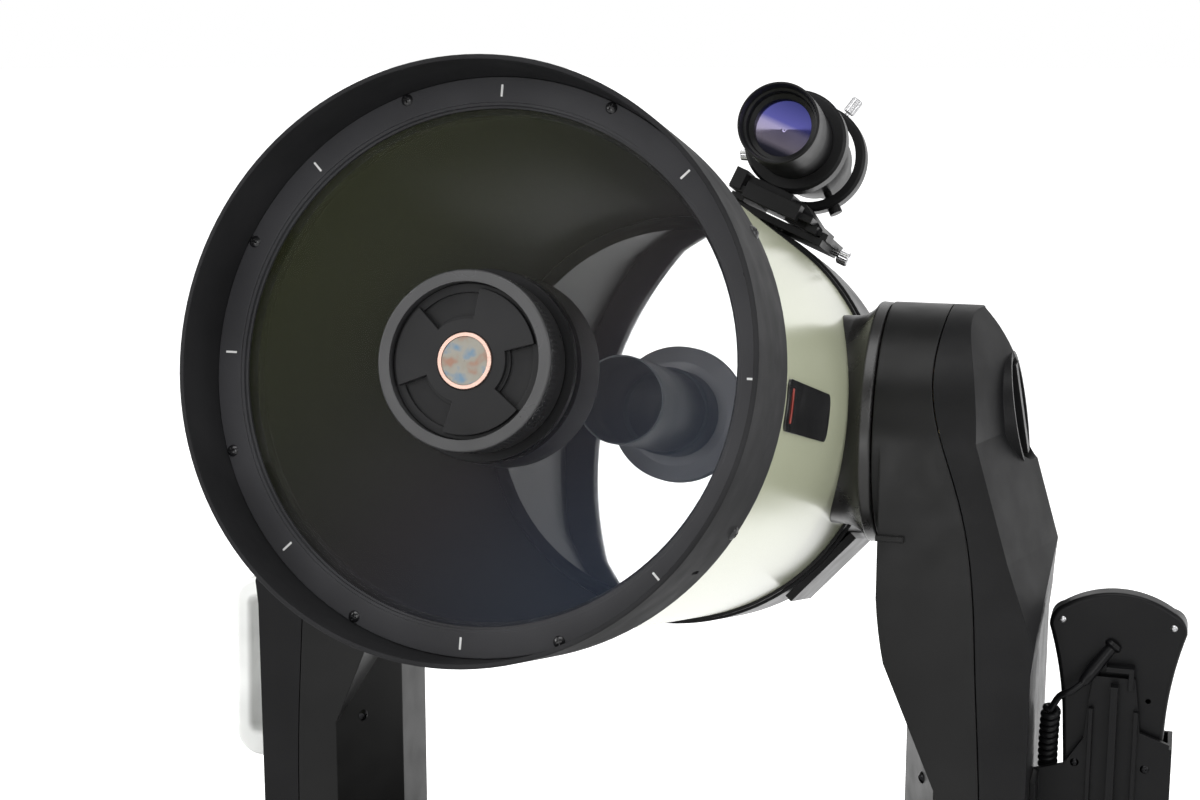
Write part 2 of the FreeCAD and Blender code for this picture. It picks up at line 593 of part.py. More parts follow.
def arm_solid(inset):
    """The right arm as one solid, with its walls moved inwards by inset."""
    face = outline(arm_outline())
    if inset:
        face = face.makeOffset2D(-inset)
    half = ARM_HALF_DEPTH - inset
    face.translate(Vector(0, -half, 0))
    body = face.extrude(Vector(0, 2 * half, 0))
    radius = DRUM_R - inset
    side = rod((150, 0, 0), (1, 0, 0), radius, 200)
    side = side.fuse(block((150, 350), (-half, half), (-500, 0)))
    body = body.common(side)
    inner_x = ARM_INNER_X + inset
    body = body.fuse(rod((inner_x, 0, 0), (1, 0, 0), radius, 232 - inner_x))
    lean = 0.32 * 95
    for way in (-1, 1):
        facet = outline(facet_outline(0.4 - 1.05 * inset))
        body = body.cut(facet.extrude(Vector(-lean, 95 * way, 0)))
        nose = [Vector(150, 95 * way, -500), Vector(226.4 + inset, 95 * way, -500)]
        nose += [Vector(194.5 + inset, 23 * way, -500), Vector(150, 23 * way, -500)]
        corner = Part.Face(Part.makePolygon(nose + nose[:1])).extrude(Vector(0, 0, 460))
        sweep = [(150 + inset, -67), (232 + inset, -261), (232 + inset, -500), (150 + inset, -500)]
        corner = corner.common(prism(sweep, -100, 100))
        body = body.cut(corner)
    body.translate(Vector(0, 0, AXIS_Z))
    return body


def seam_side(shift):
    """Everything on the inner side of the seam between the two covers of the right arm."""
    points = [(218, 100), (211.4, 62), (211, 44), (215.6, 17), (221.8, -3), (233, -38)]
    points += [(238.5, -62), (247, -155), (252.5, -240), (254.5, -330), (255, -500)]
    curve = Part.BSplineCurve()
    curve.interpolate([Vector(x + shift, -120, z + AXIS_Z) for x, z in points])
    top = Vector(points[0][0] + shift, -120, 100 + AXIS_Z)
    low = Vector(points[-1][0] + shift, -120, -500 + AXIS_Z)
    ends = [low, Vector(120, -120, low.z), Vector(120, -120, top.z), top]
    edges = [curve.toShape()]
    for a, b in zip(ends, ends[1:]):
        edges.append(Part.LineSegment(a, b).toShape())
    return Part.Face(Part.Wire(edges)).extrude(Vector(0, 240, 0))


def along_dish(depth, radius, length):
    """A cylinder on the clutch dish's axis, starting depth below the facet."""
    n = Vector(DISH_NORMAL).normalize()
    start = DISH_CENTRE - n * depth
    return Part.makeCylinder(radius, length, start, n)


def arm_covers():
    """Both covers of both arms, hollow, with the clutch dish in the right outer one."""
    shell = arm_solid(0).cut(arm_solid(ARM_WALL))
    shell = shell.cut(block((202, 276), (-74, 74), (ARM_FOOT_Z - 1, ARM_FOOT_Z + 6)))
    inner = shell.common(seam_side(-SEAM_GAP / 2))
    inner = inner.cut(rod((170, 0, AXIS_Z), (1, 0, 0), 34.0, 12))
    tab = block((178, 197), (-87.5, -82), (AXIS_Z - 64.5, AXIS_Z - 60.5))
    outer = shell.cut(seam_side(SEAM_GAP / 2))
    save("left_arm_inner_cover", mirrored(inner))
    save("left_arm_outer_cover", mirrored(outer))
    save("right_arm_inner_cover", inner.fuse(tab).removeSplitter())
    cup = along_dish(DISH_DEPTH + 5, DISH_R, DISH_DEPTH + 5)
    cup = cup.fuse(along_dish(DISH_DEPTH + 5, DISH_R, 60).common(arm_solid(0)))
    outer = outer.fuse(cup).cut(along_dish(DISH_DEPTH, DISH_R - 3.9, 60))
    outer = outer.cut(along_dish(30, 5.05, 60))
    socket = rod((ARM_OUTER_X - 4, 0, PLUG_Z), (1, 0, 0), 9.0, 7)
    outer = outer.fuse(socket).cut(rod((ARM_OUTER_X - 6, 0, PLUG_Z), (1, 0, 0), 5.6, 12))
    save("right_arm_outer_cover", outer)
    knob = fuse([along_dish(10.6, 34.0, 5.6), along_dish(22, 5.0, 14)])
    n = Vector(DISH_NORMAL).normalize()
    bar = block((-31, 31), (-5.5, 5.5), (0, 6.6))
    bar.Placement = FreeCAD.Placement(DISH_CENTRE - n * 5.2, Rotation(Z_AXIS, n))
    bar = bar.common(along_dish(10, 33.5, 20))
    save("altitude_clutch_knob", fuse([knob, bar]))


def arm_frames():
    """The castings inside the arms that carry the bearings."""
    foot_z = ARM_FOOT_Z + 0.2 - AXIS_Z
    head = block((187, 202.6), (-46, 46), (-92, 40))
    steps = [(187, -88), (202.6, -88), (222, -172), (222, foot_z), (206, foot_z)]
    steps += [(206, -186), (187, -104)]
    plate = fuse([head, prism(steps, -FRAME_HALF_WIDTH, FRAME_HALF_WIDTH)])
    foot = block((206, 262), (-FRAME_HALF_WIDTH, FRAME_HALF_WIDTH), (foot_z, foot_z + 10))
    frame = fuse([plate, foot, rod((187, 0, 0), (1, 0, 0), 52, 15.6)])
    frame = frame.cut(rod((180, 0, 0), (1, 0, 0), 38.0, 40))
    frame.translate(Vector(0, 0, AXIS_Z))
    save("arm_frames", group([frame, mirrored(frame)]))


def fork_screws():
    """Dome screws on the flanks of both arms, the hand control's back and its cradle."""
    n = Vector(-0.914, -0.405, 0)
    screws = []
    for y, z in ((-60, 262), (-42, 180)):
        x = 194.5 + (y + 23) * (226.4 - 194.5) / (-95 + 23)
        head = pan_screw((x, y, z), tuple(n), 4.4, 2.0, 3.2)
        screws += [head, mirrored(head)]
    screws += [pan_screw((x, HAND_BACK_Y, 370.5), (0, -1, 0), 2.4, 1.2, 8) for x in (298.5, 372.5)]
    screws += [pan_screw((x, -20.5, 270), (0, -1, 0), 3.0, 1.2, 3) for x in (311, 358)]
    save("fork_cover_screws", group(screws))


def carrying_handle():
    """The grip on the outer side of the left arm."""
    x = -ARM_OUTER_X - 0.05
    outer = [(x, 349.5), (-318, 348), (-340, 326, -334, 343), (-343, 226), (-326, 200, -339, 207)]
    outer += [(x, 196)]
    inner = [(x - 9, 336), (-320, 332), (-327, 324, -325.4, 330), (-329.5, 228)]
    inner += [(-322, 219, -327.6, 221.6), (x - 9, 214)]
    grip = prism(outer, -15, 15).cut(prism(inner, -20, 20))
    edges = [e for e in grip.Edges if abs(abs(e.CenterOfMass.y) - 15) < 0.01]
    save("carrying_handle", grip.makeFillet(4.0, edges))


# ---- the hand control, its cradle and its cord
def hand_outline(inset, top):
    """Front view of the hand control: a domed top, a waist and a round lower end."""
    drop = HAND_BACK_TOP_Z - top
    shoulder = 381 - drop
    bulge = 374.9 - 0.4 * drop
    steps = [(289.5, 366, 297.6, 332), (299, shoulder, 292.1, bulge)]
    steps += [(372, shoulder, HAND_X, top), (381.5, 366, 378.9, bulge)]
    steps += [(369.8, 297, 373.4, 332), (366, 224), (305, 224, HAND_X, HAND_BOTTOM_Z)]
    steps += [(301.2, 297)]
    face = outline(steps)
    return face.makeOffset2D(-inset) if inset else face


def hand_shell(y_low, y_high, floor_y, crown, top):
    """Half of the case: a wall round the outline and a floor at one end, with softened edges."""
    face = hand_outline(0, top)
    face.translate(Vector(0, y_low, 0))
    solid = face.extrude(Vector(0, y_high - y_low, 0))
    rim = [e for e in solid.Edges if abs(e.CenterOfMass.y - floor_y) < 0.01]
    solid = solid.makeFillet(crown, rim)
    hollow = hand_outline(2.6, top)
    hollow.translate(Vector(0, y_low + (2.6 if floor_y == y_low else -1), 0))
    return solid.cut(hollow.extrude(Vector(0, y_high - y_low - 1.6, 0)))


def hand_control():
    back = hand_shell(HAND_BACK_Y, -0.1, HAND_BACK_Y, 3.0, HAND_BACK_TOP_Z)
    back = back.cut(rod((358, -16, 317), (0, 1, 0), 1.8, 8))
    save("hand_control_back", back)
    front = hand_shell(0.1, HAND_FRONT_Y, HAND_FRONT_Y, 3.0, HAND_FRONT_TOP_Z)
    front = front.cut(block((309, 362), (12.6, 20), (342, 368)))
    for x, z, _ in KEYS:
        front = front.cut(rod((x, 8, z), (0, 1, 0), 5.3, 10))
    front = front.cut(block((310, 361), (8, 20), (214, 292)))
    save("hand_control_front", front)
    pads = [block((310.3, 360.7), (9.5, 12.6), (214.3, 291.7))]
    for row in range(5):
        for column in range(3):
            x = 313 + 16 * column
            z = 217.5 + 15 * row
            key = block((x, x + 13), (12, 15.6), (z, z + 10.5))
            edges = [e for e in key.Edges if abs(e.CenterOfMass.y - 15.6) < 0.01]
            pads.append(key.makeFillet(1.2, edges))
    save("hand_control_number_pad", fuse(pads))
    for x, z, name in KEYS:
        key = fuse([rod((x, 8.0, z), (0, 1, 0), 5.2, 8.4), rod((x, 6.0, z), (0, 1, 0), 6.6, 2)])
        save(f"direction_key_{name}", key)


def cradle():
    """The holder on the right arm: a ribbed spine with a hook, a pocket and a floor."""
    near_x = ARM_OUTER_X + 0.1
    back = [(321, 334), (349, 334), (352, 312), (353.5, 296), (373.5, 289), (373.5, 150)]
    back += [(near_x, 150), (near_x, 262), (303.5, 268), (316, 288), (318, 312)]
    plate = prism(back, -20.5, -17)
    rib = prism([(333, 330), (338, 330), (338.5, 150), (332.5, 150)], -30, -20)
    sides = [block((x, x + 3), (-26, -20), (150, 312)) for x in (319, 349)]
    hook = block((329.5, 348), (-24, -14.2), (338.5, 342))
    hook = hook.fuse(block((344.5, 348), (-24, -17), (326, 342)))
    wall = block((372.5, 375.5), (-20.5, 18), (190, 286))
    lip = block((362, 375.5), (15.5, 18), (190, 286))
    floor = block((302, 375.5), (-20.5, 18), (188, 192))
    mount = block((near_x, near_x + 4), (-48, -17), (150, 262))
    pieces = [plate, rib] + sides + [hook, wall, lip, floor, mount]
    save("hand_control_cradle", fuse(pieces))


def cord_tube(name, route, radius):
    """A tube along straight runs joined by tangent arcs, each as large as its runs allow."""
    points = [Vector(*p) for p in route]
    edges = []
    here = points[0]
    for before, corner, after in zip(points, points[1:], points[2:]):
        a = (before - corner).normalize()
        b = (after - corner).normalize()
        half = 0.5 * (math.pi - a.getAngle(b))
        reach = 0.45 * min((before - corner).Length, (after - corner).Length)
        bend = reach / math.tan(half)
        centre = corner + (a + b).normalize() * (bend / math.cos(half))
        middle = centre + (corner - centre).normalize() * bend
        print(f"{name}: arc radius {bend:.1f} mm, diameter {2 * radius:.1f} mm")
        edges.append(Part.LineSegment(here, corner + a * reach).toShape())
        arc = Part.Arc(corner + a * reach, middle, corner + b * reach)
        edges.append(arc.toShape())
        here = corner + b * reach
    edges.append(Part.LineSegment(here, points[-1]).toShape())
    path = Part.Wire(edges)
    section = Part.Wire(Part.makeCircle(radius, points[0], points[1] - points[0]))
    tube = path.makePipeShell([section], True, False)
    share = tube.Volume / (math.pi * radius**2 * path.Length)
    print(f"{name}: length {path.Length:.1f} mm, volume over section times length {share:.4f}")
    save(name, tube)


def cord():
    """The curly cord from the back of the hand control to the socket on the arm."""
    start = Vector(*RELIEF_START)
    end = Vector(*UPPER_LEAD[0])
    n = end - start
    relief = cone(tuple(start), tuple(n), 4.4, 2.9, n.Length)
    relief = relief.fuse(Part.makeSphere(4.4, start))
    relief = relief.fuse(rod((start.x, start.y, start.z), (0, -1, 0), 6.2, 2.2))
    relief = relief.cut(block((300, 360), (HAND_BACK_Y, 10), (330, 380)))
    save("cord_strain_relief", relief.removeSplitter())
    cord_tube("cord_upper_lead", UPPER_LEAD, CORD_R)
    cord_tube("cord_coil", COIL_ROUTE, COIL_R)
    cord_tube("cord_lower_lead", LOWER_LEAD, CORD_R)
    plug = fuse([rod((288, 0, PLUG_Z), (1, 0, 0), 7.4, 16), rod((280, 0, PLUG_Z), (1, 0, 0), 5.5, 9)])
    save("cord_plug", plug)


# ---- the base
def turntable():
    """The casting that turns: a plate with a bearing sleeve and two shoulders for the arms."""
    plate = rod((0, 0, TURNTABLE_BOTTOM_Z), (0, 0, 1), TURNTABLE_R, 11.9)
    for way in (-1, 1):
        low, high = sorted((way * 120, way * 288))
        shoulder = block((low, high), (-88, 88), (TURNTABLE_BOTTOM_Z, ARM_FOOT_Z - 0.1))
        plate = plate.fuse(shoulder)
    plate = plate.cut(rod((0, 0, TURNTABLE_BOTTOM_Z + 7), (0, 0, 1), TURNTABLE_R - 12, 40))
    sleeve = pipe((0, 0, TURNTABLE_BOTTOM_Z), (0, 0, 1), 42, 28.05, 28)
    plate = plate.cut(rod((0, 0, 40), (0, 0, 1), 28.05, 60)).fuse(sleeve)
    save("turntable", plate.removeSplitter())


def turntable_housing():
    r = TURNTABLE_R
    top = TURNTABLE_TOP_Z
    profile = [(58, r - 4), (58, r), (top - 10, r), (top - 3, r - 3), (top, r - 10), (top, 0)]
    profile += [(top - 4, 0), (top - 4, r - 12), (top - 11, r - 4)]
    housing = turned(profile, axis="z")
    panel = block((-62, 62), (-180, -156), (62, 104))
    frame = panel.cut(block((-58, 58), (-182, -176), (66, 100)))
    frame = frame.cut(block((-58, 58), (-170, -150), (66, 100)))
    housing = housing.cut(block((-60, 60), (-190, -158), (64, 102))).fuse(frame)
    for side in (-1, 1):
        low, high = sorted((side * 119.5, side * 290))
        housing = housing.cut(block((low, high), (-88.5, 88.5), (50, ARM_FOOT_Z + 0.2)))
    for x, r_hole in PORTS:
        housing = housing.cut(rod((x, -190, 83), (0, 1, 0), r_hole, 40))
    housing = housing.cut(block(SWITCH_X, (-182, -165), (75, 91)))
    housing = housing.cut(rod((*CLUTCH_XY, top - 8), (0, 0, 1), 5.05, 12))
    save("turntable_housing", housing.removeSplitter())
    side = [(-179.5, 76), (-177.8, 83), (-176.4, 90), (-171, 89), (-169, 83), (-171, 77)]
    corners = [Vector(SWITCH_X[0] + 0.6, y, z) for y, z in side]
    width = SWITCH_X[1] - SWITCH_X[0] - 1.2
    rocker = Part.Face(Part.makePolygon(corners + corners[:1])).extrude(Vector(width, 0, 0))
    save("power_switch", rocker)


def base_controls():
    x, y = CLUTCH_XY
    top = TURNTABLE_TOP_Z
    lever = [rod((x, y, top + 0.4), (0, 0, 1), 12, 8), rod((x, y, top - 10), (0, 0, 1), 5.0, 12)]
    lever.append(block((x - 6, x + 6), (y - 46, y), (top + 1.4, top + 7)))
    lever.append(rod((x, y - 46, top + 1.4), (0, 0, 1), 6, 5.6))
    save("azimuth_clutch_lever", fuse(lever))


def lower_base():
    """The fixed casting with its bearing pivot, tripod holes and feet."""
    r = LOWER_BASE_R
    low = FOOT_HEIGHT
    profile = [(low, 0), (low, r - 4), (low + 4, r), (LOWER_BASE_TOP_Z - 5, r)]
    profile += [(LOWER_BASE_TOP_Z, r - 5), (LOWER_BASE_TOP_Z, 138), (22, 138), (22, 112)]
    profile += [(LOWER_BASE_TOP_Z, 112), (LOWER_BASE_TOP_Z, 104), (22, 104), (22, 40)]
    profile += [(LOWER_BASE_TOP_Z, 36), (LOWER_BASE_TOP_Z, 28), (80, 28), (80, 20), (90, 20), (90, 0)]
    base = turned(profile, axis="z")
    base = base.fuse(rod((0, 0, 0), (0, 0, 1), PIVOT_BOSS_R, low + 4))
    base = base.cut(rod((0, 0, 0), (0, 0, 1), PIVOT_BORE_R, PIVOT_BORE_DEPTH))
    boss = rod((TRIPOD_BOLT_PCD_R, 0, low), (0, 0, 1), 11, LOWER_BASE_TOP_Z - low - 6)
    hole = rod((TRIPOD_BOLT_PCD_R, 0, 0), (0, 0, 1), TRIPOD_BOLT_R, low + 16)
    for shape in ring_of(boss, 3, BOLT_CIRCLE_FIRST, axis=Z_AXIS):
        base = base.fuse(shape)
    for shape in ring_of(hole, 3, BOLT_CIRCLE_FIRST, axis=Z_AXIS):
        base = base.cut(shape)
    save("lower_base", base.removeSplitter())
    foot = cone((FOOT_PCD_R, 0, 0), (0, 0, 1), 15, 17, FOOT_HEIGHT)
    save("base_feet", group(ring_of(foot, 3, 90, axis=Z_AXIS)))


def azimuth_drive():
    wheel = worm_wheel(AZ_WHEEL_R, 8.0, 20.02)
    wheel.translate(Vector(0, 0, 80.1))
    save("azimuth_worm_wheel", wheel)
    y = AZ_WHEEL_R + WORM_R + WORM_GAP
    save("azimuth_worm", worm((-26, y, 84), (1, 0, 0)))


def build():
    front_cell()
    label_ring()
    front_screws()
    corrector()
    secondary()
    optical_tube()
    rear_cell()
    primary()
    rear_controls()
    viewing_end()
    finder()
    altitude_hubs()
    altitude_drive()
    bearings()
    motors()
    arm_covers()
    arm_frames()
    fork_screws()
    carrying_handle()
    hand_control()
    cradle()
    cord()
    turntable()
    turntable_housing()
    base_controls()
    lower_base()
    azimuth_drive()
    os.makedirs("parts", exist_ok=True)
    for name, shape in NODES:
        if not shape.isValid():
            print("not valid:", name)
        shape.exportStep(f"parts/{name}.step")
    print(len(NODES), "nodes")


build()
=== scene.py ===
import json
import math

import bpy
from mathutils import Matrix, Vector


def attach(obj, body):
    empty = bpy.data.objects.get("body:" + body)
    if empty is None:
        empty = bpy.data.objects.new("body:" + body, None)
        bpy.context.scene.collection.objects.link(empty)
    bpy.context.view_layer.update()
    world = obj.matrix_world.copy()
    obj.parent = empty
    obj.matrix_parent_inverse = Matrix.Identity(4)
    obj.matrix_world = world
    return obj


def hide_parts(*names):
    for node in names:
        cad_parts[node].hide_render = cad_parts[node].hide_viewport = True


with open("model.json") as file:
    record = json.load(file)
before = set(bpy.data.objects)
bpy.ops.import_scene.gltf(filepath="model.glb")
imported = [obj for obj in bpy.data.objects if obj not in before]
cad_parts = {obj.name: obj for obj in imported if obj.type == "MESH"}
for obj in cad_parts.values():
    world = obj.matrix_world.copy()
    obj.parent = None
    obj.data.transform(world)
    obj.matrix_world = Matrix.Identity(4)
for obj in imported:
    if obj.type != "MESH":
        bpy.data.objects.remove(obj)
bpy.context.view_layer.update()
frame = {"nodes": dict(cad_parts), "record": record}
NODES = frame["nodes"]

# A Schmidt-Cassegrain telescope on a two-arm fork, in metres. The optics are drawn in the tube
# frame: x to the right, s along the optical axis from the front lip, z up. TUBE places them.
ALTITUDE = math.radians(14.1)
AXIS_Z = 0.5
AXIS_S = 0.405
TUBE_R = 0.1554
INSIDE_BY = 0.0006
LABEL_S = 0.0395
COVER_S = 0.0136
FINDER_TILT = math.radians(23.0)
FINDER_RADIAL = 0.2216
FINDER_LENS_R = 0.0224
HAND_SCREWS_ABOVE_Z = 0.3

TUBE = (
    Matrix.Translation((0, 0, AXIS_Z))
    @ Matrix.Rotation(-ALTITUDE, 4, "X")
    @ Matrix.Translation((0, -AXIS_S, 0))
)
FINDER = TUBE @ Matrix.Rotation(FINDER_TILT, 4, "Y") @ Matrix.Translation((0, 0, FINDER_RADIAL))

# ---- the view
CAMERA_PLACE = (0.3665, -1.3181, 0.7621)
CAMERA_DOWN = 0.1851
CAMERA_LEFT = 0.3002
LENS_MM = 57.0

# ---- the light of a white studio. Each ramp is (from, to) along a direction's height or depth in
# the surroundings, or in metres on the floor.
FLOOR_R = 60.0
FLOOR_GREY = 0.72
FLOOR_GLOW = (0.15, 1.05)
FLOOR_GLOW_Y = (-0.3, 0.45)
OVERHEAD_GREY = 0.5
OVERHEAD_RAMP = (0.5, 0.85)
FRONT_GREY = 0.35
BEHIND_RAMP = (0.35, 0.8)

MIDDLE = (0, -0.1, 0.5)
RIGHT_ARM = (0.22, 0, 0.45)
# name: place, target, width and height, watts
SOFT_BOXES = {
    "box_left": ((-2.2, -1.2, 1.6), MIDDLE, (1.2, 1.8), 38),
    "box_top": ((0.3, -0.6, 2.6), MIDDLE, (2.2, 1.4), 30),
    "box_right": ((2.3, -0.6, 1.2), MIDDLE, (0.8, 1.8), 14),
    "box_front": ((-0.25, -2.7, 1.3), MIDDLE, (2.5, 1.3), 18),
    "box_front_right": ((1.15, -1.6, 0.95), RIGHT_ARM, (0.4, 0.9), 7),
    "box_low": ((0.0, -1.9, 0.2), RIGHT_ARM, (0.5, 0.35), 3),
}


def camera():
    data = bpy.data.cameras.new("camera")
    data.lens = LENS_MM
    data.sensor_width = 36.0
    data.clip_end = 200.0
    cam = bpy.data.objects.new("camera", data)
    cam.location = CAMERA_PLACE
    cam.rotation_euler = (math.pi / 2 - CAMERA_DOWN, 0, CAMERA_LEFT)
    bpy.context.scene.collection.objects.link(cam)
    bpy.context.scene.camera = cam


def soft_box(name, place, target, size, power):
    """An area light at a place, turned to face a target."""
    data = bpy.data.lights.new(name, "AREA")
    data.shape = "RECTANGLE"
    data.size, data.size_y = size
    data.energy = power
    light = bpy.data.objects.new(name, data)
    light.location = place
    way = Vector(target) - Vector(place)
    light.rotation_euler = way.to_track_quat("-Z", "Y").to_euler()
    bpy.context.scene.collection.objects.link(light)


def map_range(tree, value, low, high, start, stop):
    """A value carried from start..stop to low..high, evenly and clamped."""
    node = tree.nodes.new("ShaderNodeMapRange")
    node.inputs["From Min"].default_value = start
    node.inputs["From Max"].default_value = stop
    node.inputs["To Min"].default_value = low
    node.inputs["To Max"].default_value = high
    tree.links.new(value, node.inputs["Value"])
    return node.outputs[0]


def studio():
    """A white room: bright behind the telescope, dimmer overhead and in front, with soft boxes."""
    bpy.context.scene.view_settings.view_transform = "Standard"
    world = bpy.data.worlds.new("studio")
    bpy.context.scene.world = world
    world.use_nodes = True
    tree = world.node_tree
    background = tree.nodes["Background"]
    coords = tree.nodes.new("ShaderNodeTexCoord")
    split = tree.nodes.new("ShaderNodeSeparateXYZ")
    tree.links.new(coords.outputs["Generated"], split.inputs[0])
    height = map_range(tree, split.outputs["Z"], 1.0, OVERHEAD_GREY, *OVERHEAD_RAMP)
    behind = map_range(tree, split.outputs["Y"], FRONT_GREY, 1.0, *BEHIND_RAMP)
    both = tree.nodes.new("ShaderNodeMath")
    both.operation = "MULTIPLY"
    tree.links.new(height, both.inputs[0])
    tree.links.new(behind, both.inputs[1])
    tree.links.new(both.outputs[0], background.inputs["Strength"])
    background.inputs["Color"].default_value = (1, 1, 1, 1)

    for name, row in SOFT_BOXES.items():
        soft_box(name, *row)

    bpy.ops.mesh.primitive_circle_add(vertices=96, radius=FLOOR_R, fill_type="NGON")
    floor = bpy.context.object
    floor.name = "floor"
    floor.data.materials.append(floor_material())


def floor_material():
    """A matt pale floor that glows white from the telescope backwards."""
    mat = bpy.data.materials.new("floor_white")
    mat.use_nodes = True
    shader = mat.node_tree.nodes["Principled BSDF"]
    shader.inputs["Base Color"].default_value = (FLOOR_GREY, FLOOR_GREY, FLOOR_GREY, 1)
    shader.inputs["Roughness"].default_value = 0.9
    shader.inputs["Specular IOR Level"].default_value = 0.0
    shader.inputs["Emission Color"].default_value = (1, 1, 1, 1)
    coords = mat.node_tree.nodes.new("ShaderNodeTexCoord")
    split = mat.node_tree.nodes.new("ShaderNodeSeparateXYZ")
    mat.node_tree.links.new(coords.outputs["Object"], split.inputs[0])
    glow = map_range(mat.node_tree, split.outputs["Y"], *FLOOR_GLOW, *FLOOR_GLOW_Y)
    mat.node_tree.links.new(glow, shader.inputs["Emission Strength"])
    return mat


# ---- materials
class Shader:
    """A Principled material being put together from textures in the object's own coordinates."""

    def __init__(self, name, colour, roughness, metallic=0.0, **sockets):
        self.mat = bpy.data.materials.new(name)
        self.mat.use_nodes = True
        self.tree = self.mat.node_tree
        self.bsdf = self.tree.nodes["Principled BSDF"]
        self.coords = self.tree.nodes.new("ShaderNodeTexCoord").outputs["Object"]
        self.bsdf.inputs["Base Color"].default_value = (*colour, 1)
        self.bsdf.inputs["Roughness"].default_value = roughness
        self.bsdf.inputs["Metallic"].default_value = metallic
        for key, value in sockets.items():
            self.bsdf.inputs[key.replace("_", " ")].default_value = value

    def noise(self, scale, detail=3.0, stretch=(1, 1, 1)):
        """A noise value at a scale given in waves per metre."""
        texture = self.tree.nodes.new("ShaderNodeTexNoise")
        texture.inputs["Scale"].default_value = scale
        texture.inputs["Detail"].default_value = detail
        source = self.coords
        if stretch != (1, 1, 1):
            mapping = self.tree.nodes.new("ShaderNodeMapping")
            mapping.inputs["Scale"].default_value = stretch
            self.tree.links.new(source, mapping.inputs[0])
            source = mapping.outputs[0]
        self.tree.links.new(source, texture.inputs["Vector"])
        return texture.outputs[0]

    def spread(self, value, low, high, start=0.3, stop=0.7):
        """A value carried from start..stop, by default the usual span of a noise, to low..high."""
        return map_range(self.tree, value, low, high, start, stop)

    def math(self, kind, a, b):
        """A math node on two values, each a number or a socket."""
        node = self.tree.nodes.new("ShaderNodeMath")
        node.operation = kind
        for socket, value in zip(node.inputs, (a, b)):
            if isinstance(value, (int, float)):
                socket.default_value = value
            else:
                self.tree.links.new(value, socket)
        return node.outputs[0]

    def blend(self, amount, a, b):
        """Colour a going to colour b; each is a tuple or a socket."""
        node = self.tree.nodes.new("ShaderNodeMix")
        node.data_type = "RGBA"
        self.tree.links.new(amount, node.inputs["Factor"])
        for socket, value in ((node.inputs[6], a), (node.inputs[7], b)):
            if isinstance(value, tuple):
                socket.default_value = (*value[:3], 1)
            else:
                self.tree.links.new(value, socket)
        return node.outputs[2]

    def ramp(self, value, stops):
        """A colour read from (place, colour) stops."""
        node = self.tree.nodes.new("ShaderNodeValToRGB")
        band = node.color_ramp
        while len(band.elements) < len(stops):
            band.elements.new(0.5)
        for element, (place, colour) in zip(band.elements, stops):
            element.position = place
            element.color = (*colour, 1)
        self.tree.links.new(value, node.inputs[0])
        return node.outputs[0]

    def along(self, matrix, axis):
        """Position along one axis of a placed frame, from the object's own coordinates."""
        way = matrix.to_3x3().col[axis]
        node = self.tree.nodes.new("ShaderNodeVectorMath")
        node.operation = "DOT_PRODUCT"
        node.inputs[1].default_value = way
        self.tree.links.new(self.coords, node.inputs[0])
        return self.math("SUBTRACT", node.outputs["Value"], matrix.translation.dot(way))

    def radius(self, matrix):
        """Distance from the optical axis of a placed frame."""
        x = self.along(matrix, 0)
        z = self.along(matrix, 2)
        squared = self.math("ADD", self.math("MULTIPLY", x, x), self.math("MULTIPLY", z, z))
        return self.math("SQRT", squared, 0.0)

    def use(self, socket, value):
        """Feed a value to one of the shader's sockets."""
        self.tree.links.new(value, self.bsdf.inputs[socket])

    def relief(self, value, depth, edge=0.0):
        """Bump of a depth in metres, with edges rounded by a radius."""
        bump = self.tree.nodes.new("ShaderNodeBump")
        bump.inputs["Strength"].default_value = 1.0
        bump.inputs["Distance"].default_value = depth
        self.tree.links.new(value, bump.inputs["Height"])
        if edge:
            bevel = self.tree.nodes.new("ShaderNodeBevel")
            bevel.samples = 4
            bevel.inputs["Radius"].default_value = edge
            self.tree.links.new(bevel.outputs[0], bump.inputs["Normal"])
        self.use("Normal", bump.outputs[0])


def satin(name, colour, roughness, grain, depth, edge=0.0008, metallic=0.0, **sockets):
    """Paint or plastic with a fine grain, faint smears in its gloss and rounded edges."""
    s = Shader(name, colour, roughness, metallic, **sockets)
    cloud = s.noise(14.0, 2.0)
    lighter = tuple(min(1.0, c * 1.18 + 0.002) for c in colour)
    darker = tuple(c * 0.85 for c in colour)
    s.use("Base Color", s.blend(s.spread(cloud, 0, 1), darker, lighter))
    s.use("Roughness", s.spread(s.noise(45.0, 4.0), roughness - 0.05, roughness + 0.06))
    s.relief(s.noise(grain, 2.0), depth, edge)
    return s.mat


def brushed(name, colour, roughness):
    """Machined metal with fine lines along x."""
    s = Shader(name, colour, roughness, 1.0)
    lines = s.noise(60.0, 3.0, (1, 40, 40))
    s.use("Roughness", s.spread(lines, roughness - 0.06, roughness + 0.08))
    s.relief(lines, 0.00001, 0.0004)
    return s.mat


def tube_paint():
    """Gloss khaki outside and flat black inside, told apart by the distance from the axis."""
    s = Shader("tube_paint", (0.42, 0.43, 0.31), 0.24)
    inside = s.math("LESS_THAN", s.radius(TUBE), TUBE_R - INSIDE_BY)
    flake = s.spread(s.noise(2600.0, 1.0), 0, 1)
    paint = s.blend(flake, (0.43, 0.45, 0.32), (0.5, 0.52, 0.375))
    s.use("Base Color", s.blend(inside, paint, (0.004, 0.0045, 0.0035)))
    s.use("Roughness", s.spread(inside, 0.2, 0.62, 0.0, 1.0))
    s.relief(s.noise(60.0, 1.0), 0.000006)
    return s.mat


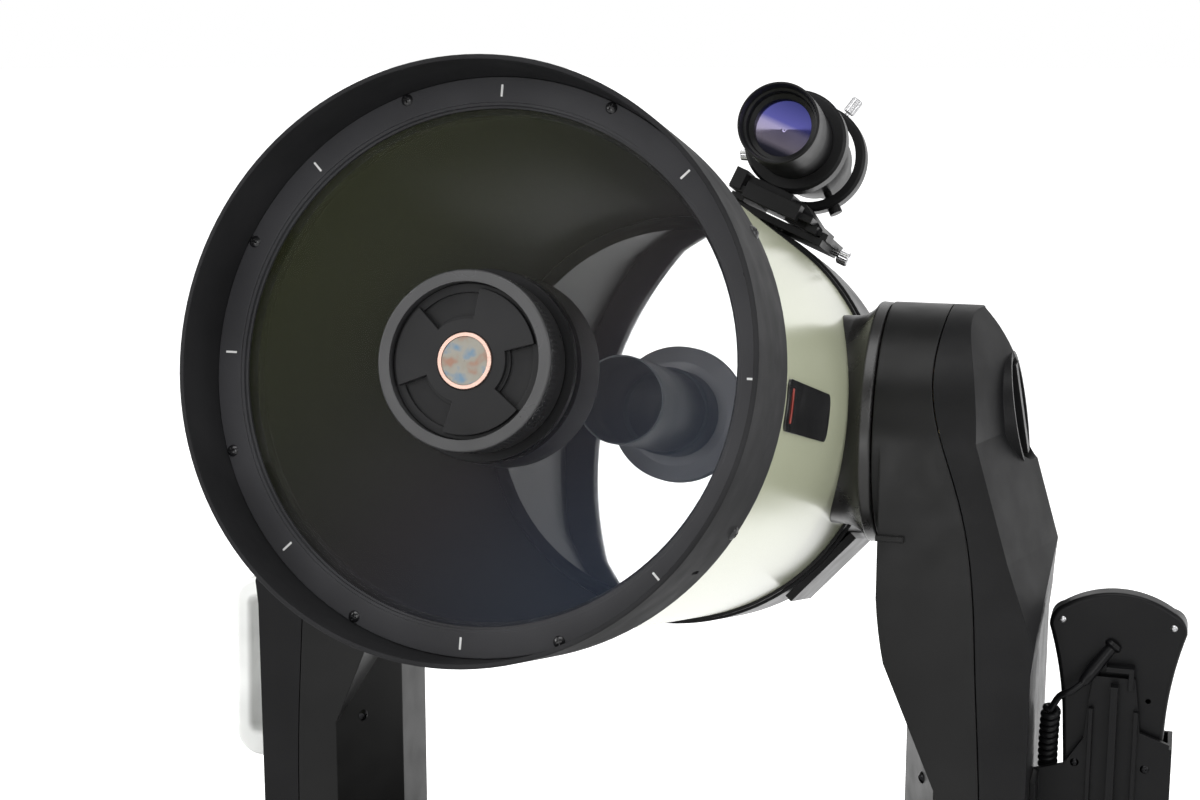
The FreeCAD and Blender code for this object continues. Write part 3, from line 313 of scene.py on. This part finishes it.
def corrector_glass():
    """Coated glass: nearly clear, with a painted reflection veil that goes from olive through
    brown to blue.
    """
    s = Shader("corrector_glass", (0.1, 0.11, 0.06), 0.03, Alpha=0.075, Specular_IOR_Level=0.25)
    # The tints are a painted reflection of the coating, laid across the plate from olive at the
    # upper left to blue at the lower right.
    slope = s.math("SUBTRACT", s.along(TUBE, 0), s.math("MULTIPLY", s.along(TUBE, 2), 0.9))
    place = s.spread(slope, 0, 1, -0.2, 0.2)
    tints = [(0.0, (0.15, 0.17, 0.06)), (0.38, (0.1, 0.105, 0.07)), (0.62, (0.11, 0.1, 0.11))]
    tints += [(1.0, (0.11, 0.15, 0.24))]
    s.use("Base Color", s.ramp(place, tints))
    s.relief(s.noise(9.0, 1.0), 0.00002)
    return s.mat


def lens_glass():
    """A purple coating with a painted reflection: a deep band above, a pale patch in the middle,
    dark at the foot.
    """
    s = Shader("finder_glass", (0.14, 0.13, 0.42), 0.06, 0.75)
    # The purple is the coating's own colour; the pale patch and the dark bands are painted
    # reflection, set by height on the lens.
    height = s.spread(s.along(FINDER, 2), 0, 1, -FINDER_LENS_R, FINDER_LENS_R)
    tints = [(0.0, (0.01, 0.01, 0.02)), (0.14, (0.03, 0.03, 0.05)), (0.24, (0.26, 0.23, 0.3))]
    tints += [(0.5, (0.2, 0.18, 0.3)), (0.6, (0.05, 0.05, 0.2)), (1.0, (0.012, 0.014, 0.09))]
    s.use("Base Color", s.ramp(height, tints))
    s.relief(s.noise(30.0, 1.0), 0.00001)
    return s.mat


def mirror_coat():
    """Bare aluminium coating, all but a perfect mirror."""
    s = Shader("mirror_coat", (0.93, 0.94, 0.95), 0.015, 1.0)
    s.use("Roughness", s.spread(s.noise(40.0, 2.0), 0.008, 0.022))
    return s.mat


def badge_metal():
    """A plain silver disc with a faint play of colour in rings."""
    s = Shader("badge_metal", (0.6, 0.58, 0.52), 0.42, 0.8)
    swirl = s.noise(110.0, 2.0)
    tints = [(0.32, (0.13, 0.2, 0.27)), (0.46, (0.26, 0.25, 0.22)), (0.56, (0.25, 0.235, 0.2))]
    tints += [(0.7, (0.27, 0.16, 0.12))]
    s.use("Base Color", s.ramp(swirl, tints))
    s.relief(s.noise(900.0, 1.0), 0.00001)
    return s.mat


def mixed_screws():
    """Bright steel on the hand control's back, black oxide lower down on the arms and cradle."""
    s = Shader("mixed_screws", (0.6, 0.6, 0.62), 0.3, 1.0)
    low = s.math("LESS_THAN", s.along(Matrix.Identity(4), 2), HAND_SCREWS_ABOVE_Z)
    s.use("Base Color", s.blend(low, (0.5, 0.5, 0.51), (0.02, 0.02, 0.021)))
    s.relief(s.noise(900.0, 1.0), 0.00001, 0.0003)
    return s.mat


DULL = {"Specular_IOR_Level": 0.16}
# name: colour, roughness, grain in waves per metre, depth of the grain in metres, and the rest
SATIN = {
    "cast_black": ((0.007, 0.007, 0.0075), 0.36, 700.0, 0.00003, DULL),
    "label_grey": ((0.04, 0.04, 0.043), 0.5, 1400.0, 0.00009, DULL),
    "cell_lip": (
        (0.018, 0.018, 0.019), 0.55, 1100.0, 0.00003, {"edge": 0.0012, "Specular_IOR_Level": 0.06}
    ),
    "black_plastic": ((0.003, 0.003, 0.0034), 0.36, 1500.0, 0.00002, DULL),
    "textured_plastic": ((0.005, 0.005, 0.0055), 0.42, 1700.0, 0.00008, DULL),
    "cover_black": ((0.012, 0.012, 0.0125), 0.36, 1500.0, 0.00003, DULL),
    "baffle_grey": ((0.17, 0.19, 0.21), 0.42, 900.0, 0.00002, {}),
    "inner_cover": ((0.008, 0.008, 0.008), 0.34, 1500.0, 0.00002, {"edge": 0.0016, **DULL}),
    "hub_black": ((0.014, 0.0135, 0.0135), 0.3, 900.0, 0.00002, {"edge": 0.0012}),
    "knurl_black": ((0.03, 0.03, 0.031), 0.3, 900.0, 0.00002, {}),
    "handle_grey": ((0.78, 0.79, 0.77), 0.42, 1200.0, 0.00003, {}),
    "screw_black": ((0.01, 0.01, 0.011), 0.25, 900.0, 0.00001, {"edge": 0.0003}),
    "cast_grey": ((0.42, 0.42, 0.43), 0.5, 600.0, 0.00008, {"metallic": 0.7}),
    "rubber": ((0.018, 0.018, 0.018), 0.75, 900.0, 0.00008, {}),
    "key_rubber": ((0.12, 0.12, 0.125), 0.6, 1200.0, 0.00003, {}),
    "cord_black": ((0.004, 0.004, 0.0045), 0.34, 1200.0, 0.00002, {"edge": 0.0, **DULL}),
    "badge_black": ((0.008, 0.008, 0.009), 0.16, 900.0, 0.000005, {"edge": 0.0006}),
    "mark_red": ((0.35, 0.03, 0.015), 0.35, 900.0, 0.00001, {"edge": 0.0}),
    "mark_white": ((0.75, 0.75, 0.74), 0.55, 900.0, 0.00002, {"edge": 0.0}),
}
# name: colour, roughness
BRUSHED = {
    "steel": ((0.62, 0.62, 0.63), 0.26),
    "brass": ((0.72, 0.53, 0.26), 0.28),
    "bearing_bronze": ((0.55, 0.4, 0.24), 0.4),
    "badge_rim": ((0.62, 0.42, 0.35), 0.3),
}
BUILT = {
    "tube_paint": tube_paint,
    "corrector_glass": corrector_glass,
    "mirror_coat": mirror_coat,
    "finder_glass": lens_glass,
    "badge_metal": badge_metal,
    "mixed_screws": mixed_screws,
}


def make_materials():
    """Every finish by its name."""
    made = {}
    for name, (colour, roughness, grain, depth, rest) in SATIN.items():
        made[name] = satin(name, colour, roughness, grain, depth, **rest)
    for name, row in BRUSHED.items():
        made[name] = brushed(name, *row)
    for name, build in BUILT.items():
        made[name] = build()
    return made


# Nodes that look different from their material's usual finish.
OWN_FINISH = {
    "front_cell": "cell_lip",
    "secondary_cover": "cover_black",
    "secondary_knurled_ring": "knurl_black",
    "altitude_hubs": "hub_black",
    "right_arm_inner_cover": "inner_cover",
    "left_arm_inner_cover": "inner_cover",
    "hand_control_back": "black_plastic",
    "fork_cover_screws": "mixed_screws",
    "primary_baffle_tube": "baffle_grey",
}


def dress_nodes(made):
    """Every CAD node gets its finish."""
    slots = {row["node"]: row["material_slot"] for row in frame["record"]["subparts"]}
    for name, node in NODES.items():
        finish = made[OWN_FINISH.get(name, slots[name])]
        node.data.materials.clear()
        node.data.materials.append(finish)


# ---- building pieces
def piece_from(mesh, name, body, finish, sharp=35.0):
    """A mesh as a named piece that rides on a body."""
    mesh.materials.append(finish)
    mesh.shade_smooth()
    mesh.set_sharp_from_angle(angle=math.radians(sharp))
    piece = bpy.data.objects.new(name, mesh)
    bpy.context.scene.collection.objects.link(piece)
    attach(piece, body)
    return piece


def turned(name, profile, matrix, count=96):
    """A closed lathed mesh from (along, radius) corners about the Y axis of a placed frame."""
    verts = []
    faces = []
    size = len(profile)
    for i in range(count):
        a = 2 * math.pi * i / count
        for along, radius in profile:
            verts.append(matrix @ Vector((radius * math.cos(a), along, radius * math.sin(a))))
    for i in range(count):
        here = i * size
        there = ((i + 1) % count) * size
        for j in range(size):
            k = (j + 1) % size
            faces.append((here + j, there + j, there + k, here + k))
    mesh = bpy.data.meshes.new(name)
    mesh.from_pydata(verts, [], faces)
    mesh.validate()
    return mesh


def slab(name, outline, matrix, low, high, bend=0.0):
    """A plate from an (x, z) outline between two depths; bend wraps it round a cylinder."""
    verts = []
    count = len(outline)
    for depth in (low, high):
        for x, z in outline:
            if bend:
                a = z / bend
                radius = bend + depth
                verts.append(matrix @ Vector((radius * math.cos(a), x, radius * math.sin(a))))
            else:
                verts.append(matrix @ Vector((x, depth, z)))
    faces = [tuple(range(count)), tuple(range(2 * count - 1, count - 1, -1))]
    for i in range(count):
        j = (i + 1) % count
        faces.append((i, i + count, j + count, j))
    mesh = bpy.data.meshes.new(name)
    mesh.from_pydata(verts, [], faces)
    return mesh


def rounded(width, height, radius, x=0.0, z=0.0, steps=6):
    """The outline of a rectangle with round corners."""
    points = []
    for corner, (sx, sz) in enumerate(((1, 1), (-1, 1), (-1, -1), (1, -1))):
        for i in range(steps + 1):
            a = math.pi / 2 * (corner + i / steps)
            cx = x + sx * (width / 2 - radius)
            cz = z + sz * (height / 2 - radius)
            points.append((cx + radius * math.cos(a), cz + radius * math.sin(a)))
    return points


# ---- details on the optics
BADGE_R = 0.0157
BADGE_RIM_BORE_R = 0.0132
BADGE_RAISED = 0.0008
PLATE_FROM_S, PLATE_TO_S = 0.118, 0.252
PLATE_WIDTH = 0.03
PLATE_Z = -0.008
PLATE_THICK = 0.0014
MARK_LONG = 0.02
RING_MARKS = 8
RING_MARK_R = 0.1525
RING_MARK_LONG, RING_MARK_WIDE = 0.0068, 0.0012


def round_badge(made):
    """The badge on the secondary: a copper rim round a plain disc."""
    back, front = COVER_S - BADGE_RAISED, COVER_S + BADGE_RAISED
    rim = [(back, BADGE_RIM_BORE_R), (back, BADGE_R - 0.0005), (COVER_S, BADGE_R)]
    rim += [(front, BADGE_R), (front, BADGE_RIM_BORE_R)]
    mesh = turned("badge_rim", rim, TUBE, 64)
    piece_from(mesh, "badge_rim", "telescope", made["badge_rim"])
    back, front = COVER_S - 0.0004, COVER_S + 0.0006
    disc = [(back, 0.0002), (back, 0.013), (front, BADGE_RIM_BORE_R), (front, 0.0002)]
    mesh = turned("badge_disc", disc, TUBE, 64)
    piece_from(mesh, "badge_disc", "telescope", made["badge_metal"])


def bend_outline(points, step=0.004):
    """More points along an outline, so that it follows the tube's curve."""
    dense = []
    for (x, z), (x2, z2) in zip(points, points[1:] + points[:1]):
        parts = max(1, int(abs(z2 - z) / step))
        for i in range(parts):
            t = i / parts
            dense.append((x + (x2 - x) * t, z + (z2 - z) * t))
    return dense


def tube_plate(made):
    """The plain black plate on the side of the tube, with a short red mark."""
    long, middle = PLATE_TO_S - PLATE_FROM_S, 0.5 * (PLATE_FROM_S + PLATE_TO_S)
    plate = bend_outline(rounded(long, PLATE_WIDTH, 0.006, middle, PLATE_Z))
    mesh = slab("tube_badge", plate, TUBE, 0.00005, PLATE_THICK, TUBE_R)
    piece_from(mesh, "tube_badge", "telescope", made["badge_black"])
    mark = bend_outline(rounded(0.004, MARK_LONG, 0.001, PLATE_FROM_S + 0.012, PLATE_Z))
    mesh = slab("tube_badge_mark", mark, TUBE, PLATE_THICK - 0.0001, PLATE_THICK + 0.0002, TUBE_R)
    piece_from(mesh, "tube_badge_mark", "telescope", made["mark_red"])


def ring_marks(made):
    """Short index lines on the clamping ring."""
    line = rounded(RING_MARK_LONG, RING_MARK_WIDE, 0.0003, RING_MARK_R)
    for i in range(RING_MARKS):
        name = f"ring_mark_{i + 1}"
        turn = TUBE @ Matrix.Rotation(2 * math.pi * i / RING_MARKS, 4, "Y")
        mesh = slab(name, line, turn, LABEL_S - 0.00012, LABEL_S + 0.0001)
        piece_from(mesh, name, "telescope", made["mark_white"])


# ---- the curly cord
UPPER_LEAD = [(0.314, -0.027, 0.330), (0.307, -0.031, 0.324), (0.2995, -0.028, 0.321)]
UPPER_LEAD += [(0.294, -0.020, 0.313)]
COIL_ROUTE = [(0.294, -0.020, 0.313), (0.292, -0.0115, 0.284), (0.2922, -0.0045, 0.252)]
COIL_ROUTE += [(0.2919, -0.0015, 0.222), (0.2925, -0.002, 0.196)]
LOWER_LEAD = [(0.2925, -0.002, 0.196), (0.297, -0.0015, 0.181), (0.307, -0.0006, 0.170)]
LOWER_LEAD += [(0.315, 0, 0.156), (0.3135, 0.0002, 0.1435), (0.304, 0, 0.140)]
RELIEF_START = Vector((0.334, -0.014, 0.356))
CORD_R = 0.0024
HELIX_R = 0.0046
HELIX_PITCH = 0.0052
POINTS_PER_TURN = 12
END_TURN_SHARE = 0.55


def nurbs(name, points, radius=0.0):
    """One open NURBS spline with those control points."""
    curve = bpy.data.curves.new(name, "CURVE")
    curve.dimensions = "3D"
    curve.bevel_depth = radius
    curve.bevel_resolution = 5
    curve.use_fill_caps = True
    spline = curve.splines.new("NURBS")
    spline.points.add(len(points) - 1)
    for target, point in zip(spline.points, points):
        target.co = (*point, 1)
    spline.order_u = 3
    spline.use_endpoint_u = True
    spline.resolution_u = 6
    return curve


def line_of(points):
    """Points read along the smooth spline of a route."""
    curve = nurbs("route", points)
    curve.splines[0].resolution_u = 24
    holder = bpy.data.objects.new("route", curve)
    mesh = bpy.data.meshes.new_from_object(holder)
    line = [v.co.copy() for v in mesh.vertices]
    bpy.data.objects.remove(holder)
    bpy.data.curves.remove(curve)
    bpy.data.meshes.remove(mesh)
    return line


def helix():
    """Turns about the coil's route, starting and ending near its axis.

    The points lie outside the helix, because the spline cuts its corners.
    """
    line = line_of(COIL_ROUTE)
    marks = [0.0]
    for a, b in zip(line, line[1:]):
        marks.append(marks[-1] + (b - a).length)
    total = marks[-1]
    turns = round((total - 2 * HELIX_PITCH) / HELIX_PITCH)
    count = turns * POINTS_PER_TURN
    side = Vector((0, -1, 0))
    made = []
    k = 0
    for i in range(count + 1):
        share = i / count
        at = HELIX_PITCH + share * (total - 2 * HELIX_PITCH)
        while marks[k + 1] < at and k < len(line) - 2:
            k += 1
        t = (at - marks[k]) / (marks[k + 1] - marks[k])
        centre = line[k].lerp(line[k + 1], t)
        way = (line[k + 1] - line[k]).normalized()
        side = (side - way * side.dot(way)).normalized()
        across = way.cross(side)
        near_end = min(i, count - i) / (0.5 * POINTS_PER_TURN)
        radius = HELIX_R * (END_TURN_SHARE + (1 - END_TURN_SHARE) * min(1.0, near_end))
        radius /= math.cos(math.pi / POINTS_PER_TURN)
        a = 2 * math.pi * i / POINTS_PER_TURN
        made.append(centre + radius * (math.cos(a) * side + math.sin(a) * across))
    return made


def length_of(points):
    """The length of the smooth spline through a route."""
    line = line_of(points)
    return sum((b - a).length for a, b in zip(line, line[1:]))


def curly_cord(made):
    """The whole cord from the hand control's boot to its plug, in place of the CAD's solids."""
    route = [Vector(p) for p in UPPER_LEAD[:-1]] + helix() + [Vector(p) for p in LOWER_LEAD[1:]]
    curve = nurbs("curly_cord", route, CORD_R)
    curve.materials.append(made["cord_black"])
    cord = bpy.data.objects.new("curly_cord", curve)
    bpy.context.scene.collection.objects.link(cord)
    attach(cord, "fork")
    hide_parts("cord_upper_lead", "cord_coil", "cord_lower_lead")
    relief = strain_relief(made)
    length_of(route)


def strain_relief(made):
    """A smooth tapered boot from the hand control to the cord, with a raised ring at its exit."""
    end = Vector(UPPER_LEAD[0])
    way = end - RELIEF_START
    long = way.length
    place = Matrix.Translation(RELIEF_START) @ way.to_track_quat("Y", "Z").to_matrix().to_4x4()
    profile = [(0.0, 0.0006), (0.0, 0.0056), (0.0026, 0.0060), (0.0036, 0.0052), (0.0042, 0.0038)]
    profile += [(0.35 * long, 0.0040), (0.7 * long, 0.0044), (0.92 * long, 0.0040)]
    profile += [(long, 0.0029), (long, 0.0006)]
    mesh = turned("tapered_strain_relief", profile, place, 32)
    boot = piece_from(mesh, "tapered_strain_relief", "fork", made["cord_black"])
    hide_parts("cord_strain_relief")
    return boot


camera()
studio()
finishes = make_materials()
dress_nodes(finishes)
round_badge(finishes)
tube_plate(finishes)
ring_marks(finishes)
curly_cord(finishes)
